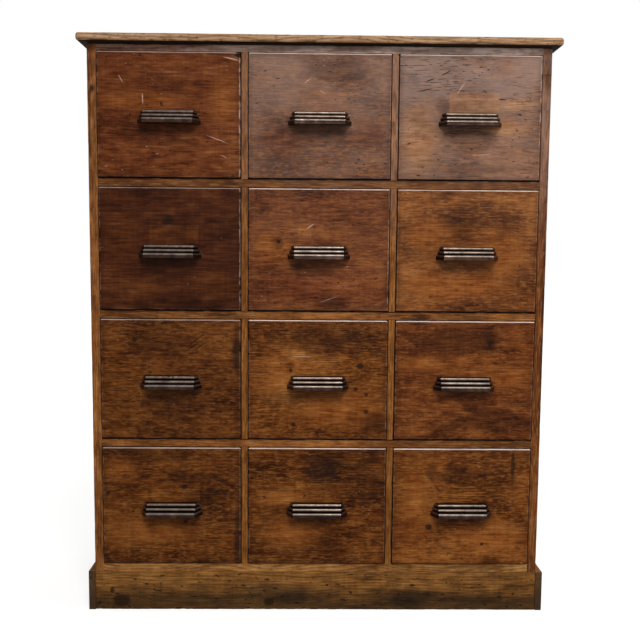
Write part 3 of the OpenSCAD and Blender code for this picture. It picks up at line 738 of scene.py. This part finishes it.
def nail_rows(finish):
    """Domed nails in rows across the back boards, each one struck a little differently."""
    tree = bpy.data.node_groups.new("nails in rows", "GeometryNodeTree")
    low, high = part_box("back_nails")
    head_r, in_row = 3 * MM, 7
    for label, kind, value in (
            ("Seed", "NodeSocketInt", 7), ("Nails in a row", "NodeSocketInt", in_row),
            ("Head radius", "NodeSocketFloat", head_r), ("Head height", "NodeSocketFloat", 1.1 * MM),
            ("Greatest tilt", "NodeSocketFloat", 0.05), ("Finish", "NodeSocketMaterial", finish)):
        tree.interface.new_socket(label, in_out="INPUT", socket_type=kind).default_value = value
    tree.interface.new_socket("Geometry", in_out="OUTPUT", socket_type="NodeSocketGeometry")
    given = add(tree, "NodeGroupInput").outputs
    step = (high.x - low.x - 2 * head_r) / (in_row - 1)
    # Heights of the bottom board's, the shelves' and the crown board's middles
    lines = [add(tree, "GeometryNodeMeshLine", {
        "Count": given["Nails in a row"], "Offset": (step, 0, 0),
        "Start Location": (low.x + head_r, high.y, z * MM)}) for z in (92, 359.5, 626.5, 893.5, 1159)]
    # The head is the upper part of a ball, and the shank reaches through the boards
    ball = add(tree, "GeometryNodeMeshUVSphere", {"Segments": 24, "Rings": 12, "Radius": given["Head radius"]})
    squash = add(tree, "Math", [given["Head height"], given["Head radius"]], operation="DIVIDE")
    squash = add(tree, "CombineXYZ", [1, 1, squash])
    ball = add(tree, "GeometryNodeTransform", {"Geometry": ball, "Scale": squash})
    shank_l = 30 * MM
    shank = add(tree, "GeometryNodeMeshCylinder", {"Vertices": 12, "Radius": 1.1 * MM, "Depth": shank_l})
    shank = add(tree, "GeometryNodeTransform", {"Geometry": shank, "Translation": (0, 0, -shank_l / 2)})
    nail = add(tree, "GeometryNodeJoinGeometry")
    points = add(tree, "GeometryNodeJoinGeometry")
    for parts, whole in (((ball, shank), nail), (lines, points)):
        for part in parts:
            tree.links.new(part.outputs[0], whole.inputs[0])
    # Laid pointing forward, with the head's top just inside the rearmost plane of the cabinet
    nail = add(tree, "GeometryNodeTransform", {
        "Geometry": nail, "Rotation": (-math.pi / 2, 0, 0), "Translation": (0, -1.15 * MM, 0)})
    points = add(tree, "GeometryNodeMeshToPoints", {"Mesh": points})
    tilt = add(tree, "FunctionNodeRandomValue", {"Seed": given["Seed"], 0: (-1, 0, -1), 1: (1, 0, 1)},
               data_type="FLOAT_VECTOR")
    tilt = add(tree, "VectorMath", {0: tilt, "Scale": given["Greatest tilt"]}, operation="SCALE")
    size = add(tree, "FunctionNodeRandomValue", {"Seed": given["Seed"], 2: 0.88, 3: 1})
    placed = add(tree, "GeometryNodeInstanceOnPoints", {
        "Points": points, "Instance": nail, "Rotation": tilt, "Scale": size})
    solid = add(tree, "GeometryNodeRealizeInstances", [placed])
    solid = add(tree, "GeometryNodeSetMaterial", {"Geometry": solid, "Material": given["Finish"]})
    add(tree, "NodeGroupOutput", [solid])

    holder = new_piece("nail_rows", bpy.data.meshes.new("nail_points"))
    holder.modifiers.new("nails in rows", "NODES").node_group = tree
    ready = holder.evaluated_get(bpy.context.evaluated_depsgraph_get())
    mesh = bpy.data.meshes.new_from_object(ready)
    holder.modifiers.clear()
    holder.data = mesh
    stand_in(holder, "back_nails")


def soften(piece, width):
    """Rounds sharp edges of a casting, the mitred corners of its reeds among them."""
    bevel = piece.modifiers.new("cast edges", "BEVEL")
    bevel.width = width * MM
    bevel.segments = 3
    bevel.limit_method = "ANGLE"
    bevel.angle_limit = math.radians(34)


def dress(piece, material):
    piece.data.materials.clear()
    piece.data.materials.append(material)


# Pieces

left_z = frame_finish("stained pine left side", "z", 3,
                      marks=[(1078, 456, 9, 8, 0.9), (1000, 461, 130, 2.5, 0.6)])
right_z = frame_finish("stained pine right side", "z", 14, tones=("#43220f", "#67391b", "#855129", "#a06c3e"),
                       marks=[(1113, -457, 1.2, 10, 0.85), (700, -462, 300, 2, 0.5), (1125, -457, 40, 9, 0.5)])
partition_z = frame_finish("stained pine partitions", "z", 6, boards=(0.3, UNDIVIDED, ROW_PITCH),
                           first=(0, OUTSIDE, CELLS_FOOT), tones=("#5b3214", "#7b4a20", "#98612d", "#ad773f"),
                           grey_wax_and_sheen=0.26)
rail_x = frame_finish("stained pine shelves", "x", 4, boards=(UNDIVIDED, UNDIVIDED, ROW_PITCH),
                      first=(OUTSIDE, OUTSIDE, 0), painted_shadow_band=(101, ROW_PITCH / MM, 3.5), grey_wax_and_sheen=0.12,
                      marks=[(-195, 626, 36, 7, 0.6), (205, 622, 14, 7, 0.7), (310, 626, 40, 7, 0.5),
                             (-180, 894, 12, 5, 0.5), (0, 893, 640, 16, 0.4), (-310, 626, 200, 14, 0.3),
                             (300, 359, 200, 14, 0.4)])
sill_x = frame_finish("stained pine bottom board", "x", 9, tones=("#6b4420", "#946334", "#b17f47", "#c5985f"),
                      marks=[(300, 92, 170, 16, 0.3)])
# Under the top: its pale tones and pale grey are partly a painted sheen of reflected light, and a painted
# shadow of the top runs along its upper edge
crown_x = frame_finish("stained pine under the top", "x", 12, painted_shadow_band=(1166, 1000, 3), grey_wax_and_sheen=0.7, grey="#cdb8ac",
                       tones=("#55301f", "#92685a", "#c09c8c", "#d8bfb4"),
                       marks=[(-330, 1158, 130, 9, 0.4), (40, 1163, 70, 4, 0.4)])
slab = slab_finish()
low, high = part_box("plinth_front")
plinth_x = plinth_finish("stained pine plinth, dirty", "x", 21, (low + high) / 2,
                         knots=[(-410, -22, 14, 0.8), (-430, 0, 5, 1), (-100, -24, 8, 0.7)],
                         marks=[(-60, -16, 60, 14, 0.7), (200, -14, 60, 20, 0.75), (330, -20, 60, 12, 0.5),
                                (-250, -6, 50, 10, 0.3)])
plinth_y = plinth_finish("stained pine plinth sides", "y", 23, (0, 0, 0.04),
                         end_grain=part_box("plinth_sides")[0].y)
# Steps of the cuts along X, Y and Z and the wear, both in millimetres, a seed, and the axes with worn ends
for node, cuts, wear, seed, sides, finish in (
        ("side_left", (0, 0, 12), (1, 3), 1, "xyz", left_z),
        ("side_right", (0, 0, 12), (1, 3), 2, "xyz", right_z),
        ("top_board", (8, 0, 0), (5, 8), 4, "xyz", slab),
        ("bottom_board", (12, 0, 0), (0.6, 1.6), 5, "yz", sill_x),
        ("crown_board", (12, 0, 0), (0.5, 1.2), 6, "yz", crown_x),
        ("shelves", (12, 0, 0), (0.5, 1.5), 8, "yz", rail_x),
        ("partitions", (0, 0, 12), (0.5, 1.5), 9, "xy", partition_z),
        ("plinth_front", (8, 0, 0), (1.5, 4), 7, "xyz", plinth_x)):
    dress(worn_copy(node, cuts, wear, seed, sides), finish)
dress(NODES["plinth_sides"], plinth_y)
# One cell for each drawer, or for each half of it
raw_x = raw_finish("bare pine across", "x", 31, boards=(COLUMN_PITCH, UNDIVIDED, ROW_PITCH),
                   first=(CELLS_LEFT, OUTSIDE, CELLS_FOOT))
raw_y = raw_finish("bare pine drawer sides", "y", 32, boards=(COLUMN_PITCH / 2, UNDIVIDED, ROW_PITCH),
                   first=(CELLS_LEFT, OUTSIDE, CELLS_FOOT),
                   crossed=(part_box("box_r1c1")[1].y - 12 * MM, (COLUMN_PITCH, UNDIVIDED, ROW_PITCH)))
# Seven back boards, with a gap of 0.6 mm from each to the next and a row of nails up the middle of each
low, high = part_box("back_boards")
back_pitch = (high.x - low.x + 0.6 * MM) / 7
raw_z = raw_finish("bare pine back boards", "z", 33, boards=(back_pitch, UNDIVIDED, UNDIVIDED),
                   first=(low.x, OUTSIDE, OUTSIDE),
                   nails=((low.x + back_pitch / 2, 0, 0.092), (back_pitch, UNDIVIDED, ROW_PITCH)))
dress(weathered_boards(), raw_z)
dress(NODES["drawer_stops"], raw_x)
nail_rows(nail_finish())
iron = iron_finish("cast iron, rubbed reeds")
low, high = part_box("pull_r3c1")
rusty = iron_finish("cast iron, pitted with rust", ((low.x + high.x) / 2 - 8 * MM, low.y, high.z - 3 * MM))
for row in range(1, ROWS + 1):
    for column in range(1, COLUMNS + 1):
        tag = f"r{row}c{column}"
        front = worn_copy(f"front_{tag}", (7, 0, 7), (2.5, 4.5), row * 5 + column, hollow=0.5,
                          chip=(15, 5) if tag == "r1c1" else None)
        dress(front, front_finish(row, column))
        dress(NODES[f"box_{tag}"], raw_y)
        dress(NODES[f"bottom_{tag}"], raw_x)
        dress(NODES[f"pull_{tag}"], rusty if tag == "r3c1" else iron)
        soften(NODES[f"pull_{tag}"], 0.9)


# Floor, light and camera

def seen_directly(t):
    """1 for what the camera sees itself, in a polished surface or through glass, 0 for light that bounces."""
    path = add(t, "LightPath").outputs
    seen = add(t, "Math", [path["Is Camera Ray"], path["Is Glossy Ray"]], operation="MAXIMUM")
    return add(t, "Math", [seen, path["Is Transmission Ray"]], operation="MAXIMUM")


def make_stage():
    far = 15
    floor = bpy.data.meshes.new("floor")
    floor.from_pydata([(-far, -far, 0), (far, -far, 0), (far, far, 0), (-far, far, 0)], [], [(0, 1, 2, 3)])
    piece = new_piece("floor", floor)
    material = empty_material("pale floor")
    t = material.node_tree
    # Matt paint that takes the shadow, lit up to plain white, and all white from 3 m away
    matt = add(t, "BsdfDiffuse", {"Color": linear("#a1a09e")})
    place = add(t, "TexCoord").outputs["Object"]
    away = add(t, "VectorMath", [place], operation="LENGTH")
    lift = add(t, "MapRange", {
        "Value": away, "From Min": 0.6, "From Max": 3, "To Min": 0.77, "To Max": 1},
        interpolation_type="SMOOTHSTEP")
    lift = add(t, "Math", [lift, seen_directly(t)], operation="MULTIPLY")
    glow = add(t, "Emission", {"Color": linear("#ffffff"), "Strength": lift})
    both = add(t, "AddShader", [matt, glow])
    add(t, "OutputMaterial", {"Surface": both})
    floor.materials.append(material)

    world = bpy.data.worlds.new("studio")
    scene.world = world
    world.use_nodes = True
    t = world.node_tree
    t.nodes.clear()
    air = add(t, "Background", {"Color": linear("#f2f3f5"), "Strength": 0.35})
    white = add(t, "Background", {"Color": linear("#ffffff"), "Strength": 1})
    both = add(t, "MixShader", [seen_directly(t), air, white])
    add(t, "OutputWorld", {"Surface": both})


def area_light(name, place, target, width, height, watts):
    data = bpy.data.lights.new(name, "AREA")
    data.shape = "RECTANGLE"
    data.size, data.size_y = width, height
    data.energy = watts
    lamp = new_piece(name, data)
    lamp.location = place
    lamp.rotation_euler = (Vector(target) - Vector(place)).to_track_quat("-Z", "Y").to_euler()


def make_camera(place, yaw, pitch, roll, lens):
    """Place in metres, angles in degrees, and the lens in millimetres for a frame 36 mm wide."""
    data = bpy.data.cameras.new("camera")
    data.sensor_width, data.lens = 36, lens
    camera = new_piece("camera", data)
    scene.camera = camera
    yaw, pitch, roll = (math.radians(a) for a in (yaw, pitch, roll))
    ahead = Vector((math.sin(yaw) * math.cos(pitch), math.cos(yaw) * math.cos(pitch), -math.sin(pitch)))
    right = Vector((math.cos(yaw), -math.sin(yaw), 0))
    up = right.cross(ahead)
    turned_right = right * math.cos(roll) + up * math.sin(roll)
    turned_up = up * math.cos(roll) - right * math.sin(roll)
    turned = Matrix((turned_right, turned_up, -ahead)).transposed().to_4x4()
    camera.matrix_world = Matrix.Translation(place) @ turned


make_stage()
make_camera((-0.019, -1.838, 0.763), 0.79, 5.09, 0.47, 45.02)
area_light("soft box above the right shoulder", (0.35, -2.4, 2.7), (0, -0.2, 0.7), 0.9, 0.7, 56)
area_light("soft box in front", (0.45, -3.7, 1.2), (0, -0.2, 0.6), 1.2, 1.8, 25)
area_light("soft box on the right", (2.8, -1.1, 1.4), (0, -0.2, 0.6), 0.8, 1.6, 26)
area_light("soft box behind", (0.5, 2.6, 2.4), (0, 0, 0.7), 2, 1.2, 30)
